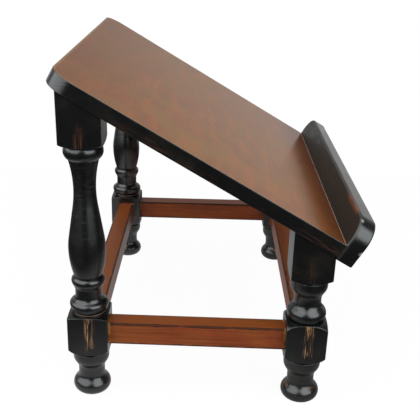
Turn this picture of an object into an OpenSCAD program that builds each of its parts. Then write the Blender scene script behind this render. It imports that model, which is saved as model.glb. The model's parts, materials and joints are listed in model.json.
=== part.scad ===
// Bible stand: a sloping board with a book ledge, carried by four turned legs and four stretchers.
// The reader stands at -Y and looks along +Y, so left is -X and the ledge is at the front, -Y.

/* [Board] */
// Width of the sloping board, side to side
board_w = 452; // [380:1:560]
// Length of the board down its slope, from the rear edge to the ledge
board_run = 354; // [320:1:420]
// Thickness of the board
board_t = 16; // [14:1:24]
// Slope of the board above level, in degrees
board_slope = 30; // [27:0.5:35]
// Height of the board's top face above the table, where it meets the ledge
front_h = 207; // [203:1:260]
// Radius of the board's two rear corners, seen square to the board
board_corner_r = 25; // [5:1:30]

/* [Ledge] */
// Thickness of the book ledge
ledge_t = 20; // [17:1:30]
// How far the ledge stands above the board
ledge_rise = 31; // [22:1:45]
// How far the ledge reaches below the board
ledge_drop = 1; // [0:0.5:4]
// Radius of the ledge's two top corners
ledge_corner_r = 25; // [4:1:30]

/* [Legs] */
// Side of the square leg blocks
leg_square = 46; // [42:1:56]
// How far the legs stand in from the board's sides
side_inset = 3; // [1:0.5:30]
// How far the rear legs stand in from the board's rear top edge
rear_inset = 3.5; // [1:0.5:30]
// How far the front legs stand behind the ledge's lower edge
front_inset = 0.3; // [0.1:0.1:30]
// Radius eased along the arrises of blocks and stretchers
arris_r = 1.5; // [0.5:0.5:4]
// Height of the lower blocks, at the middle of a face
lower_block_h = 49; // [44:1:56]
// Height of the front upper blocks below the board, at the leg's axis
front_block_h = 48.5; // [40:0.5:56]
// Height of the rear upper blocks below the board, at the leg's axis
rear_block_h = 46.5; // [40:0.5:56]
// Radius of the turned shoulders of the lower blocks
shoulder_r = 13.5; // [10:0.5:20]
// Radius of the flatter shoulders on top of the rear lower blocks
rear_shoulder_r = 40; // [14:1:60]
// Radius of the turned shoulders of the upper blocks
upper_shoulder_r = 18.5; // [14:0.5:24]
// How far a block's flat end stands in from its faces
shoulder_lip = 2.5; // [0.5:0.5:4]

/* [Turning] */
// Diameter of the bun feet and of the buns above the front lower blocks
bun_d = 44.5; // [36:0.5:46]
// Radius of a bun's rounded side
bun_side_r = 10.5; // [9.5:0.1:13]
// Height of a bun's widest ring above the table
foot_h = 9.2; // [6:0.1:10]
// Length of the plain neck above each foot
foot_neck_l = 17; // [6:0.1:22]
// Diameter of the necks above the buns
neck_d = 31; // [22:0.2:34]
// Diameter of the cups below the blocks
cup_d = 42.5; // [36:0.5:44]
// Radius of the rounded underside of a cup
cup_r = 13; // [10:0.5:18]
// Depth of the rounded underside of a cup
cup_depth = 11.5; // [8:0.5:14]
// Height of the plain band above a cup's rounded underside
cup_band_h = 7; // [4:0.5:12]
// Diameter of the quirk between a cup and its block
quirk_d = 38; // [30:0.5:40]
// Height of the quirk between a cup and its block
quirk_h = 2.5; // [1:0.5:5]
// Height of the widest ring of a front leg's bun above the lower block
bun_up = 7; // [6:0.5:10]

/* [Rear leg vase] */
// Height of the bead's widest ring above the lower block
bead_up = 8; // [6:0.5:10]
// Diameter of the bead above the rear lower blocks
bead_d = 45; // [38:0.2:46]
// Height of that bead
bead_h = 14; // [10:0.5:16]
// Diameter of the cove above that bead
cove_d = 31; // [24:0.5:34]
// Height of the cove
cove_h = 15.5; // [10:0.5:24]
// Radius that blends the cove into the bead
cove_blend_r = 5; // [2:0.5:6]
// Diameter of the ring under the vase
ring_d = 38.6; // [34:0.2:44]
// Height of the ring under the vase
ring_h = 13; // [8:0.5:16]
// Diameter at the foot of the vase
vase_foot_d = 31.5; // [24:0.5:34]
// Height of the belly above the foot of the vase
belly_up = 33; // [25:0.5:50]
// Diameter of the belly
belly_d = 42; // [34:0.5:45]
// Radius of the belly's side above its widest ring
belly_side_r = 85; // [50:1:120]
// Diameter of the vase's throat
throat_d = 24.6; // [18:0.2:30]
// Distance of the throat below the collar
throat_down = 33; // [20:0.5:45]
// Diameter at the top of the vase
vase_top_d = 33.4; // [28:0.2:38]
// Diameter of the collar under the rear upper blocks
collar_d = 43.5; // [38:0.5:45]
// Height of the collar
collar_h = 16.5; // [12:0.5:20]
// Distance of the collar's widest ring below the block
collar_down = 7; // [5:0.5:9]
// Radius of the collar's rounded side
collar_side_r = 11; // [9:0.5:14]

/* [Stretchers] */
// Thickness of the stretchers, across
stretcher_t = 24; // [18:1:32]
// Height of the stretchers
stretcher_h = 27; // [20:1:34]

/* [Joints] */
// Thickness of the stretcher tenons
tenon_t = 12; // [8:1:14]
// Height of the stretcher tenons
tenon_h = 17; // [12:1:18]
// Wood left between the two mortises in a lower block
mortise_wall = 1.4; // [0.8:0.1:6]
// Diameter of the dowels
dowel_d = 8; // [6:0.5:9]
// Length of a leg dowel in its leg
leg_dowel_in_leg = 26; // [15:1:30]
// Length of a leg dowel in the board
leg_dowel_in_board = 10; // [6:0.5:11]
// Distance between the two dowels in one leg
leg_dowel_gap = 20; // [12:1:26]
// Number of dowels along the ledge
ledge_dowels_n = 5; // [3:1:8]
// How far the outer ledge dowels stand inside the front legs' axes
ledge_dowel_inset = 40; // [25:1:60]
// Length of a ledge dowel in the ledge
ledge_dowel_in_ledge = 12; // [6:0.5:13]
// Length of a ledge dowel in the board
ledge_dowel_in_board = 24; // [15:1:40]
// Bevel at the ends of the dowels
dowel_bevel = 1; // [0.5:0.1:2]
// Room for glue around dowels and tenons, on each side
glue_gap = 0.1; // [0.05:0.05:0.3]
// Room for glue at the ends of dowels and tenons
glue_end = 1; // [0.5:0.1:2]

/* [Hidden] */
$fn = 96;
arc_steps = 12;
// How far the turned shoulders reach past the corners of a block
shoulder_clear = 0.8;
// How far the cove's blend sinks into the bead, and the vase into its ring and collar
cove_sink = 1;
vase_sink = 0.5;
// Largest share of the radius of the vase's curve that the throat takes; the belly takes the rest
throat_share = 0.55;
paint_black = "#1d1c1b";
stain_brown = "#7c4630";
beech = "#d8b98c";

// The board's place: its rear top edge, with the model's box centred on the origin.
front_reach = (board_run + ledge_t) * cos(board_slope) + ledge_rise * sin(board_slope);
rear_reach = board_t * sin(board_slope);
rear_y = (front_reach - rear_reach) / 2;
rear_h = front_h + board_run * sin(board_slope);
// A length that reaches past the board on every side.
clear_reach = 2 * (board_w + board_run);

// The legs' places.
leg_x = board_w / 2 - side_inset - leg_square / 2;
rear_leg_y = rear_y - rear_inset - leg_square / 2;
ledge_back_y = rear_y - board_run * cos(board_slope) + (board_t + ledge_drop) * sin(board_slope);
front_leg_y = ledge_back_y + front_inset + leg_square / 2;

// The flat ends of the blocks, and the tenons that end beside each other in each lower block.
shoulder_flat_d = leg_square - 2 * shoulder_lip;
shoulder_reach = (sqrt(2) - 1) * leg_square / 2 + shoulder_lip + shoulder_clear;
tenon_l = (leg_square - tenon_t) / 2 - glue_gap - mortise_wall - glue_end;

// Heights up the legs.
cup_h = cup_depth + cup_band_h + quirk_h;
bun_top = sqrt(bun_side_r * bun_side_r - pow(neck_d / 2 - bun_d / 2 + bun_side_r, 2));
lower_block_z = foot_h + bun_top + foot_neck_l + cup_h;
lower_block_top = lower_block_z + lower_block_h;
stretcher_z = lower_block_z + lower_block_h / 2;

// Height of the board's underside above a line at y, and how far down the slope that is.
function underside_z(y) = rear_h + (y - rear_y) * tan(board_slope) - board_t / cos(board_slope);
function underside_v(y) = (y - rear_y) / cos(board_slope) - board_t * tan(board_slope);

// Points along an arc about centre c, from angle a to angle b.
function arc(c, r, a, b) = [for (i = [0:arc_steps]) c + r * [cos(a + (b - a) * i / arc_steps),
    sin(a + (b - a) * i / arc_steps)]];

// Outline of the vase between heights z0 and z1: a belly and a throat joined by their common tangent.
function vase_outline(z0, z1) =
    let (belly = [belly_d / 2, z0 + belly_up],
        throat = [throat_d / 2, z1 - throat_down],
        swell = belly[0] - throat[0],
        rise = throat[1] - belly[1],
        both = (rise * rise + swell * swell) / (2 * swell),
        foot_swell = (belly_d - vase_foot_d) / 2,
        foot_r = (belly_up * belly_up + foot_swell * foot_swell) / (2 * foot_swell),
        flare = (vase_top_d - throat_d) / 2,
        throat_r = min((throat_down * throat_down + flare * flare) / (2 * flare), both * throat_share),
        belly_r = min(belly_side_r, both * (1 - throat_share)),
        belly_c = [belly[0] - belly_r, belly[1]],
        throat_c = [throat[0] + throat_r, throat[1]],
        between = throat_c - belly_c,
        lean = atan2(between[1], between[0]) - acos((belly_r + throat_r) / norm(between)),
        top_turn = asin(min(1, throat_down / throat_r)))
    concat([[0, z0]],
        arc([belly[0] - foot_r, belly[1]], foot_r, -asin(belly_up / foot_r), 0),
        arc(belly_c, belly_r, 0, lean),
        arc(throat_c, throat_r, 180 + lean, 180 - top_turn),
        [[0, z1]]);

// Places things on the board: x across, y up the slope from the rear top edge, z out of its top face.
module on_board() {
    translate([0, rear_y, rear_h])
        rotate([board_slope, 0, 0])
            children();
}

// A rectangle about the origin with eased corners.
module eased_rectangle(w, h, r) {
    square([w - 2 * r, h], center = true);
    square([w, h - 2 * r], center = true);
    for (x = [-1, 1], y = [-1, 1])
        translate([x * (w / 2 - r), y * (h / 2 - r)])
            circle(r);
}

// A rectangle w wide from 0 up to h, with its two top corners rounded.
module arched_rectangle(w, h, r) {
    translate([-w / 2, 0])
        square([w, h - r]);
    translate([-w / 2 + r, 0])
        square([w - 2 * r, h]);
    for (x = [-1, 1])
        translate([x * (w / 2 - r), h - r])
            circle(r);
}

// Half profiles of the turned parts, with x as the radius and y as the height.

// A plain length of the turning.
module spindle(d, z0, z1) {
    translate([0, z0])
        square([d / 2, z1 - z0]);
}

// A half-round ring about height z.
module bead(d, h, z) {
    spindle(d - h, z - h / 2, z + h / 2);
    translate([d / 2 - h / 2, z])
        circle(h / 2);
}

// A bun about height z, cut flat below z0.
module bun(z, z0) {
    intersection() {
        union() {
            translate([bun_d / 2 - bun_side_r, z])
                circle(bun_side_r);
            spindle(bun_d - 2 * bun_side_r, z0, z + bun_side_r);
        }
        spindle(bun_d, z0, z + bun_side_r);
    }
}

// A cup with its quirk, below a block that starts at height z.
module cup(z) {
    band_z = z - quirk_h - cup_band_h;
    spindle(quirk_d, z - quirk_h, z + quirk_h);
    spindle(cup_d, band_z, z - quirk_h);
    intersection() {
        translate([cup_d / 2 - cup_r, band_z])
            circle(cup_r);
        spindle(cup_d, band_z - cup_depth, band_z);
    }
    spindle(neck_d, band_z - cup_depth, band_z);
}

// The foot, from the table up to the lower block.
module foot_profile() {
    bun(foot_h, 0);
    spindle(neck_d, foot_h, lower_block_z - cup_h + quirk_h);
    cup(lower_block_z);
}

// The turning between the blocks of a front leg.
module front_profile(top) {
    bun_z = lower_block_top + bun_up;
    bun(bun_z, lower_block_top - quirk_h);
    spindle(neck_d, bun_z, top - cup_h + quirk_h);
    cup(top);
}

// The turning between the blocks of a rear leg.
module rear_profile(top) {
    bead_z = lower_block_top + bead_up;
    cove_z = bead_z + bead_h / 2;
    blend_z = cove_z + cove_blend_r - cove_sink;
    ring_z = cove_z + cove_h + ring_h / 2;
    collar_z = top - collar_h;
    bead(bead_d, bead_h, bead_z);
    spindle(quirk_d, lower_block_top - quirk_h, bead_z);
    spindle(cove_d, bead_z, ring_z);
    difference() {
        spindle(cove_d + 2 * cove_blend_r, bead_z, blend_z);
        translate([cove_d / 2 + cove_blend_r, blend_z])
            circle(cove_blend_r);
    }
    bead(ring_d, ring_h, ring_z);
    polygon(vase_outline(ring_z + ring_h / 2 - vase_sink, collar_z + vase_sink));
    intersection() {
        translate([collar_d / 2 - collar_side_r, top - collar_down])
            circle(collar_side_r);
        spindle(collar_d, collar_z, top);
    }
    spindle(throat_d, collar_z, top + quirk_h);
}

// Limit of a block between heights z0 and z1: its ends are turned to shoulders of radius r0 and r1.
module block_profile(z0, z1, r0, r1) {
    flat = shoulder_flat_d / 2;
    turn0 = asin(min(1, shoulder_reach / r0));
    turn1 = asin(min(1, shoulder_reach / r1));
    polygon(concat([[0, z0]], arc([flat, z0 + r0], r0, -90, turn0 - 90), arc([flat, z1 - r1], r1, 90 - turn1, 90),
        [[0, z1]]));
}

// A square block with turned shoulders at both ends.
module block(z0, z1, r0, r1) {
    intersection() {
        translate([0, 0, z0])
            linear_extrude(z1 - z0)
                eased_rectangle(leg_square, leg_square, arris_r);
        rotate_extrude()
            block_profile(z0, z1, r0, r1);
    }
}

// The mortise for a stretcher that leaves the leg along the direction a, in degrees from +X.
module mortise(a) {
    depth = tenon_l + glue_end;
    translate([0, 0, stretcher_z])
        rotate([0, 0, a])
            translate([leg_square / 2 - depth, -tenon_t / 2 - glue_gap, -tenon_h / 2 - glue_gap])
                cube([leg_square, tenon_t + 2 * glue_gap, tenon_h + 2 * glue_gap]);
}

// A leg's turning and blocks at side x and line y, with its mortises and dowel holes. The upper block
// starts at height top, reaches up twice h and is cut to the board's underside. The lower block's upper
// shoulder has radius r.
module leg(x, y, top, h, r, mortises) {
    difference() {
        translate([x, y, 0]) {
            rotate_extrude() {
                foot_profile();
                children();
            }
            block(lower_block_z, lower_block_top, shoulder_r, r);
            block(top, top + 2 * h, upper_shoulder_r, upper_shoulder_r);
        }
        on_board()
            translate([-clear_reach / 2, -clear_reach / 2, -board_t])
                cube(clear_reach);
        translate([x, y, 0])
            for (a = mortises)
                mortise(a);
        leg_dowel_places(x, y)
            dowel_hole(leg_dowel_in_leg, leg_dowel_in_board);
    }
}

// A dowel along z, with length below and above 0.
module dowel(below, above) {
    r = dowel_d / 2;
    rotate_extrude()
        polygon([[0, -below], [r - dowel_bevel, -below], [r, dowel_bevel - below], [r, above - dowel_bevel],
            [r - dowel_bevel, above], [0, above]]);
}

// The hole for such a dowel.
module dowel_hole(below, above) {
    translate([0, 0, -below - glue_end])
        cylinder(d = dowel_d + 2 * glue_gap, h = below + above + 2 * glue_end);
}

// Where the two dowels of a leg cross the joint to the board.
module leg_dowel_places(x, y) {
    on_board()
        for (side = [-1, 1])
            translate([x + side * leg_dowel_gap / 2, underside_v(y), -board_t])
                children();
}

// Where the ledge's dowels cross the joint to the board, with z pointing up the slope.
module ledge_dowel_places() {
    first = -leg_x + ledge_dowel_inset;
    step = -2 * first / (ledge_dowels_n - 1);
    on_board()
        for (i = [0:ledge_dowels_n - 1])
            translate([first + i * step, -board_run, -board_t / 2])
                rotate([-90, 0, 0])
                    children();
}

// A stretcher along x about the origin, between shoulders length apart, with a tenon at each end.
module stretcher(length) {
    rotate([90, 0, 90])
        linear_extrude(length, center = true)
            eased_rectangle(stretcher_t, stretcher_h, arris_r);
    cube([length + 2 * tenon_l, tenon_t, tenon_h], center = true);
}

module side_stretcher(x) {
    color(stain_brown)
        translate([x, (front_leg_y + rear_leg_y) / 2, stretcher_z])
            rotate([0, 0, 90])
                stretcher(rear_leg_y - front_leg_y - leg_square);
}

module cross_stretcher(y) {
    color(stain_brown)
        translate([0, y, stretcher_z])
            stretcher(2 * leg_x - leg_square);
}

module rear_leg(x, mortises) {
    top = underside_z(rear_leg_y) - rear_block_h;
    color(paint_black)
        leg(x, rear_leg_y, top, rear_block_h, rear_shoulder_r, mortises)
            rear_profile(top);
}

module front_leg(x, mortises) {
    top = underside_z(front_leg_y) - front_block_h;
    color(paint_black)
        leg(x, front_leg_y, top, front_block_h, shoulder_r, mortises)
            front_profile(top);
}

module top_board() {
    color(stain_brown)
        difference() {
            on_board()
                translate([0, -board_run, -board_t])
                    linear_extrude(board_t)
                        arched_rectangle(board_w, board_run, board_corner_r);
            for (x = [-leg_x, leg_x], y = [front_leg_y, rear_leg_y])
                leg_dowel_places(x, y)
                    dowel_hole(leg_dowel_in_leg, leg_dowel_in_board);
            ledge_dowel_places()
                dowel_hole(ledge_dowel_in_ledge, ledge_dowel_in_board);
        }
}

module book_ledge() {
    color(paint_black)
        difference() {
            on_board()
                translate([0, -board_run, -board_t - ledge_drop])
                    rotate([90, 0, 0])
                        linear_extrude(ledge_t)
                            arched_rectangle(board_w, board_t + ledge_drop + ledge_rise, ledge_corner_r);
            ledge_dowel_places()
                dowel_hole(ledge_dowel_in_ledge, ledge_dowel_in_board);
        }
}

module rear_left_leg() {
    rear_leg(-leg_x, [0, -90]);
}

module rear_right_leg() {
    rear_leg(leg_x, [180, -90]);
}

module front_left_leg() {
    front_leg(-leg_x, [0, 90]);
}

module front_right_leg() {
    front_leg(leg_x, [180, 90]);
}

module left_stretcher() {
    side_stretcher(-leg_x);
}

module right_stretcher() {
    side_stretcher(leg_x);
}

module front_stretcher() {
    cross_stretcher(front_leg_y);
}

module rear_stretcher() {
    cross_stretcher(rear_leg_y);
}

module leg_dowels() {
    color(beech)
        for (x = [-leg_x, leg_x], y = [front_leg_y, rear_leg_y])
            leg_dowel_places(x, y)
                dowel(leg_dowel_in_leg, leg_dowel_in_board);
}

module ledge_dowels() {
    color(beech)
        ledge_dowel_places()
            dowel(ledge_dowel_in_ledge, ledge_dowel_in_board);
}

top_board();
book_ledge();
rear_left_leg();
rear_right_leg();
front_left_leg();
front_right_leg();
left_stretcher();
right_stretcher();
front_stretcher();
rear_stretcher();
leg_dowels();
ledge_dowels();
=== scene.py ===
"""Models and finishes a bible stand: a sloping board with a book ledge, on turned legs and stretchers."""

import json
import math

import bmesh
import bpy
from mathutils import Matrix, Vector


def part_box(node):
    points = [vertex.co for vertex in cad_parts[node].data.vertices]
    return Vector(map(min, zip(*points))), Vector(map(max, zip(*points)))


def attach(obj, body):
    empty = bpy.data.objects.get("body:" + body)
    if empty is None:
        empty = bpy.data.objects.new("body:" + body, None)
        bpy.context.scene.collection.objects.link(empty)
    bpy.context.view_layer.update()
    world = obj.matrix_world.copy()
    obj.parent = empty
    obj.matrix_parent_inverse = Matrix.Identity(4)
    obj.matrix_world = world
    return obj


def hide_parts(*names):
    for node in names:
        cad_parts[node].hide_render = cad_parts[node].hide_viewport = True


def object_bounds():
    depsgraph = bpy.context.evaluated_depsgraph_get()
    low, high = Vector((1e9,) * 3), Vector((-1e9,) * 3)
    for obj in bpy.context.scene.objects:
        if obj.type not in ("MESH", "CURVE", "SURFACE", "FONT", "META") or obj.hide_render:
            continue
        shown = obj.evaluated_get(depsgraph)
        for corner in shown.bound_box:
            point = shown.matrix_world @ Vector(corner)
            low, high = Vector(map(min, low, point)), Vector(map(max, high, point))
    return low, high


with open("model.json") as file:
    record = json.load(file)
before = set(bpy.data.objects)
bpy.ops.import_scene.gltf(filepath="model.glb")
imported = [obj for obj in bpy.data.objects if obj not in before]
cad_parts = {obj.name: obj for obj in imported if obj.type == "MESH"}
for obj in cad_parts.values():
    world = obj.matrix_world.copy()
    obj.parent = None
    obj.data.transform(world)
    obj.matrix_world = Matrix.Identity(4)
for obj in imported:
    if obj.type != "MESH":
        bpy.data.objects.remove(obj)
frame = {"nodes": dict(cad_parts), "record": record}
CAD_LOW, CAD_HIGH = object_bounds()

bl_info = {
    "name": "Bible Stand",
    "version": (1, 0, 0),
    "blender": (4, 5, 0),
    "location": "3D View > Sidebar > Bible Stand",
    "description": "Models a sloping book stand with turned legs, painted black and stained brown",
    "category": "Add Mesh",
}

MM = 0.001
TOUCH = 0.01 * MM
# Facets thinner than this, left by planing the blocks, are merged away.
SLIVER = 0.2 * MM
# A face looks along an axis if its normal's part along it is over this.
FACING = 0.99
SMOOTH_ANGLE = math.radians(38)
LAMP_DISTANCE = 1.7
LAMP_TINT = (0.95, 1.0, 1.02)


def linear(hex_colour):
    """An sRGB hex colour as linear red, green, blue and alpha."""
    shares = [int(hex_colour[i : i + 2], 16) / 255 for i in (1, 3, 5)]
    return [s / 12.92 if s <= 0.04045 else ((s + 0.055) / 1.055) ** 2.4 for s in shares] + [1.0]


# The board's slope, and the sizes of the sloping pieces from the boxes that they fill.
SLOPE = math.acos(next(m for m in frame["record"]["mounts"] if m["name"] == "book_surface")["axis"][2])


def sloping_size(node):
    """A sloping piece's length along the slope and its size square to the slope."""
    low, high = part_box(node)
    deep, tall = high.y - low.y, high.z - low.z
    spread = math.cos(2 * SLOPE)
    along = (deep * math.cos(SLOPE) - tall * math.sin(SLOPE)) / spread
    square = (tall * math.cos(SLOPE) - deep * math.sin(SLOPE)) / spread
    return along, square


BOARD_LOW, BOARD_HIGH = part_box("top_board")
BOARD_W = BOARD_HIGH.x - BOARD_LOW.x
BOARD_RUN, BOARD_T = sloping_size("top_board")
LEDGE_T, LEDGE_H = sloping_size("book_ledge")
REAR_TOP = Vector((0, BOARD_HIGH.y - BOARD_T * math.sin(SLOPE), BOARD_HIGH.z))
ON_BOARD = Matrix.Translation(REAR_TOP) @ Matrix.Rotation(SLOPE, 4, "X")
LEDGE_RISE = (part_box("book_ledge")[1].z - (ON_BOARD @ Vector((0, -BOARD_RUN, 0))).z) / math.cos(SLOPE)

# Height of the board's underside on the line y = 0.
UNDERSIDE = REAR_TOP.z - REAR_TOP.y * math.tan(SLOPE) - BOARD_T / math.cos(SLOPE)

LEG_LOW, LEG_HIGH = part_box("front_left_leg")
LEG_SQUARE = LEG_HIGH.x - LEG_LOW.x
LEG_X = -(LEG_LOW.x + LEG_HIGH.x) / 2
FRONT_LEG_Y = (LEG_LOW.y + LEG_HIGH.y) / 2
REAR_LEG_Y = sum(corner.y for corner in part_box("rear_left_leg")) / 2
STRETCHER_LOW, STRETCHER_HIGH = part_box("left_stretcher")
STRETCHER_T = STRETCHER_HIGH.x - STRETCHER_LOW.x
STRETCHER_H = STRETCHER_HIGH.z - STRETCHER_LOW.z
STRETCHER_Z = (STRETCHER_LOW.z + STRETCHER_HIGH.z) / 2
TENON_L = (STRETCHER_HIGH.y - STRETCHER_LOW.y - (REAR_LEG_Y - FRONT_LEG_Y - LEG_SQUARE)) / 2


def length(name, default_mm, description):
    """A size property in metres, with its default given in millimetres."""
    return bpy.props.FloatProperty(
        name=name, description=description, default=default_mm * MM, min=0, precision=5, unit="LENGTH"
    )


def colour(name, default, description):
    """A colour property, with its default given as sRGB hex."""
    return bpy.props.FloatVectorProperty(
        name=name, description=description, default=linear(default), size=4, min=0, max=1, subtype="COLOR"
    )


class StandEdges(bpy.types.PropertyGroup):
    """How far corners and arrises are rounded."""

    board_corner: length("Board corner", 25, "Radius of the board's two rear corners")
    board_arris: length("Board arris", 0.7, "Radius along the board's top edges")
    board_low_arris: length("Board low arris", 0.6, "Radius along the board's lower edges")
    ledge_corner: length("Ledge corner", 25, "Radius of the ledge's two top corners")
    ledge_arris: length("Ledge arris", 2.4, "Radius along the ledge's edges")
    block_arris: length("Block arris", 1.5, "Radius along the square blocks of the legs")
    shoulder_arris: length("Shoulder arris", 0.5, "Radius where a turned shoulder meets a block's face")
    stretcher_arris: length("Stretcher arris", 1.5, "Radius along the stretchers")


class StandTurning(bpy.types.PropertyGroup):
    """Sizes of the turned parts of the legs."""

    lower_block: length("Lower block", 49, "Height of the lower blocks")
    front_block: length("Front upper block", 48.5, "Height of the front upper blocks at the leg's axis")
    rear_block: length("Rear upper block", 46.5, "Height of the rear upper blocks at the leg's axis")
    shoulder: length("Shoulder", 13.5, "Radius of the turned shoulders of the lower blocks")
    rear_shoulder: length("Rear shoulder", 40, "Radius of the flatter shoulders on the rear lower blocks")
    upper_shoulder: length("Upper shoulder", 18.5, "Radius of the turned shoulders of the upper blocks")
    shoulder_lip: length("Shoulder lip", 2.5, "How far a block's flat end stands in from its faces")
    bun: length("Bun", 44.5, "Diameter of the bun feet and of the buns on the front legs")
    bun_side: length("Bun side", 10.5, "Radius of a bun's rounded side")
    foot_height: length("Foot height", 9.2, "Height of a foot's widest ring above the table")
    neck: length("Neck", 31, "Diameter of the necks above the buns")
    neck_sweep: length("Neck sweep", 10, "Radius that sweeps a bun into its neck")
    cup: length("Cup", 42.5, "Diameter of the cups below the blocks")
    cup_side: length("Cup side", 13, "Radius of a cup's rounded underside")
    cup_sweep: length("Cup sweep", 15, "Radius that sweeps a neck into its cup")
    cup_band: length("Cup band", 7, "Height of the plain band above a cup's underside")
    quirk: length("Quirk", 38, "Diameter of the sunk ring beside a block")
    quirk_height: length("Quirk height", 2.5, "Height of the sunk ring beside a block")
    bun_up: length("Bun height", 7, "Height of a front bun's widest ring above the lower block")
    bead_up: length("Bead height", 10.2, "Height of a rear bead's widest ring above the lower block")
    bead: length("Bead", 44.6, "Diameter of the bead above a rear lower block")
    bead_edge: length("Bead edge", 5, "Radius of that bead above its widest ring")
    bead_side: length("Bead side", 12, "Radius of that bead below its widest ring")
    cove: length("Cove", 31, "Diameter of the cove above the bead")
    cove_sweep: length("Cove sweep", 6.5, "Radius that sweeps the bead into the cove")
    ring: length("Ring", 38.6, "Diameter of the ring under the vase")
    ring_up: length("Ring height", 39.8, "Height of the ring's widest part above the lower block")
    ring_edge: length("Ring edge", 5, "Radius of the ring above its widest part")
    ring_side: length("Ring side", 10, "Radius of the ring below its widest part")
    vase_foot: length("Vase foot", 31.5, "Diameter at the foot of the vase")
    belly_up: length("Belly height", 33, "Height of the belly above the foot of the vase")
    belly: length("Belly", 42, "Diameter of the belly")
    belly_side: length("Belly side", 85, "Radius of the belly's side above its widest ring")
    throat: length("Throat", 24.6, "Diameter of the vase's throat")
    throat_down: length("Throat depth", 33, "Distance of the throat below the collar")
    vase_top: length("Vase top", 33.4, "Diameter at the top of the vase")
    collar: length("Collar", 43.5, "Diameter of the collar under a rear upper block")
    collar_height: length("Collar height", 16.5, "Height of the collar")
    collar_down: length("Collar depth", 7, "Distance of the collar's widest ring below the block")
    collar_side: length("Collar side", 11, "Radius of the collar's rounded side")
    fillet_height: length("Fillet height", 1.6, "Height of the thin fillets beside the rings")
    fillet_step: length("Fillet step", 0.8, "How far a fillet stands proud")
    steps: bpy.props.IntProperty(name="Steps", description="Facets around a turning", default=144, min=24)


class StandJoints(bpy.types.PropertyGroup):
    """Sizes of the hidden joints."""

    tenon_thickness: length("Tenon thickness", 12, "Thickness of the stretchers' tenons")
    tenon_height: length("Tenon height", 17, "Height of the stretchers' tenons")
    glue_gap: length("Glue gap", 0.1, "Room for glue around tenons and dowels")
    glue_end: length("Glue end", 1, "Room for glue at the end of a tenon")


class StandFinish(bpy.types.PropertyGroup):
    """Colours of the finishes."""

    board_stain: colour("Board stain", "#764017", "Stain on the board")
    board_thin: colour("Thin board stain", "#7c5520", "Where the board's stain is thin")
    board_warm: colour("Warm stain", "#8e4c18", "Small warm blotches in the stain on the board")
    rail_stain: colour("Stretcher stain", "#743115", "Stain on the stretchers")
    rail_thin: colour("Thin stretcher stain", "#80431a", "Where the stretchers' stain is thin")
    # Dark stain in the grain and toward the rear, and also painted shade on the board's face toward the
    # ledge.
    dark_stain_and_shade: colour("Dark stain", "#542611", "Where the stain has soaked in")
    stain_edge: colour("Rubbed stain", "#b08656", "Stain rubbed thin along an edge")
    joint: colour("Joint line", "#c39c88", "Pale line where the ledge meets the board")
    glaze: colour("Dark glaze", "#1f1410", "Glaze left in corners and along arrises")
    paint: colour("Black paint", "#0a0a0a", "Black satin paint")
    paint_thin: colour("Thin paint", "#211c13", "Black paint that lets the brown through")
    rub: colour("Rubbed paint", "#66381a", "Stain that shows where the paint is rubbed through")
    # The thin pale line round the foot of each rear bead.
    pale_bead_line: colour("Rubbed line", "#86664f", "Thin line rubbed round a ring")
    wood: colour("Bare wood", "#a47d49", "Wood that shows where the paint is scratched through")
    chip: colour("Chips", "#b8b3a8", "Small knocks in the paint")
    dowel: colour("Beech", "#d2b083", "Plain beech of the dowels")
    dowel_fleck: colour("Beech fleck", "#a5794a", "Short brown flecks in the beech")


class StandStage(bpy.types.PropertyGroup):
    """The floor, light and camera."""

    floor: colour("Floor", "#efefed", "Pale floor")
    floor_width: length("Floor width", 2000, "Width of the floor as the camera sees it")
    floor_front: length("Floor front", 450, "How far the floor reaches in front of the stand's middle")
    floor_rear: length("Floor rear", 650, "How far the floor reaches behind the stand's middle")
    camera_place: bpy.props.FloatVectorProperty(
        name="Camera",
        description="Place of the camera",
        default=(-0.9446, 0.0085, 0.5184),
        subtype="XYZ",
        unit="LENGTH",
    )
    camera_turn: bpy.props.FloatVectorProperty(
        name="Camera turn",
        description="Rotation of the camera",
        default=[math.radians(angle) for angle in (66.006, -0.433, -86.822)],
        subtype="EULER",
        unit="ROTATION",
    )
    camera_lens: bpy.props.FloatProperty(
        name="Lens", description="Focal length", default=63.18, unit="CAMERA"
    )
    camera_shift: bpy.props.FloatVectorProperty(
        name="Shift", description="Shift of the frame, right and up", size=2, default=(0.0965, 0.0908)
    )


def select(piece, kind, test):
    """Selects the edges or faces of the piece in edit mode that pass a test, and nothing else."""
    bpy.ops.mesh.select_mode(type=kind)
    bpy.ops.mesh.select_all(action="DESELECT")
    mesh = bmesh.from_edit_mesh(piece.data)
    for item in mesh.edges if kind == "EDGE" else mesh.faces:
        item.select_set(test(item))
    mesh.select_flush_mode()
    bmesh.update_edit_mesh(piece.data)


def round_edges(piece, radius, segments, test):
    """Rounds the edges that pass a test."""
    select(piece, "EDGE", test)
    bpy.ops.mesh.bevel(offset=radius, segments=segments, profile=0.5, affect="EDGES", clamp_overlap=False)


def edge_at(axis, place):
    """A test for edges that lie at one place along an axis."""
    return lambda edge: all(abs(vert.co[axis] - place) < TOUCH for vert in edge.verts)


def start_block(name, low, high):
    """Adds a block that fills a box, and opens it in edit mode."""
    bpy.ops.object.select_all(action="DESELECT")
    bpy.ops.mesh.primitive_cube_add(size=1, location=(Vector(low) + Vector(high)) / 2)
    piece = bpy.context.object
    piece.name = piece.data.name = name
    piece.scale = Vector(high) - Vector(low)
    bpy.ops.object.transform_apply()
    bpy.ops.object.mode_set(mode="EDIT")
    return piece


def merge_close(threshold=TOUCH):
    """Selects all of the piece in edit mode and merges its points that lie close together."""
    bpy.ops.mesh.select_all(action="SELECT")
    bpy.ops.mesh.remove_doubles(threshold=threshold)


def pick(piece):
    """Makes the piece the only selected object, in object mode."""
    if bpy.context.object and bpy.context.object.mode != "OBJECT":
        bpy.ops.object.mode_set(mode="OBJECT")
    bpy.ops.object.select_all(action="DESELECT")
    piece.select_set(True)
    bpy.context.view_layer.objects.active = piece


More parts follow.
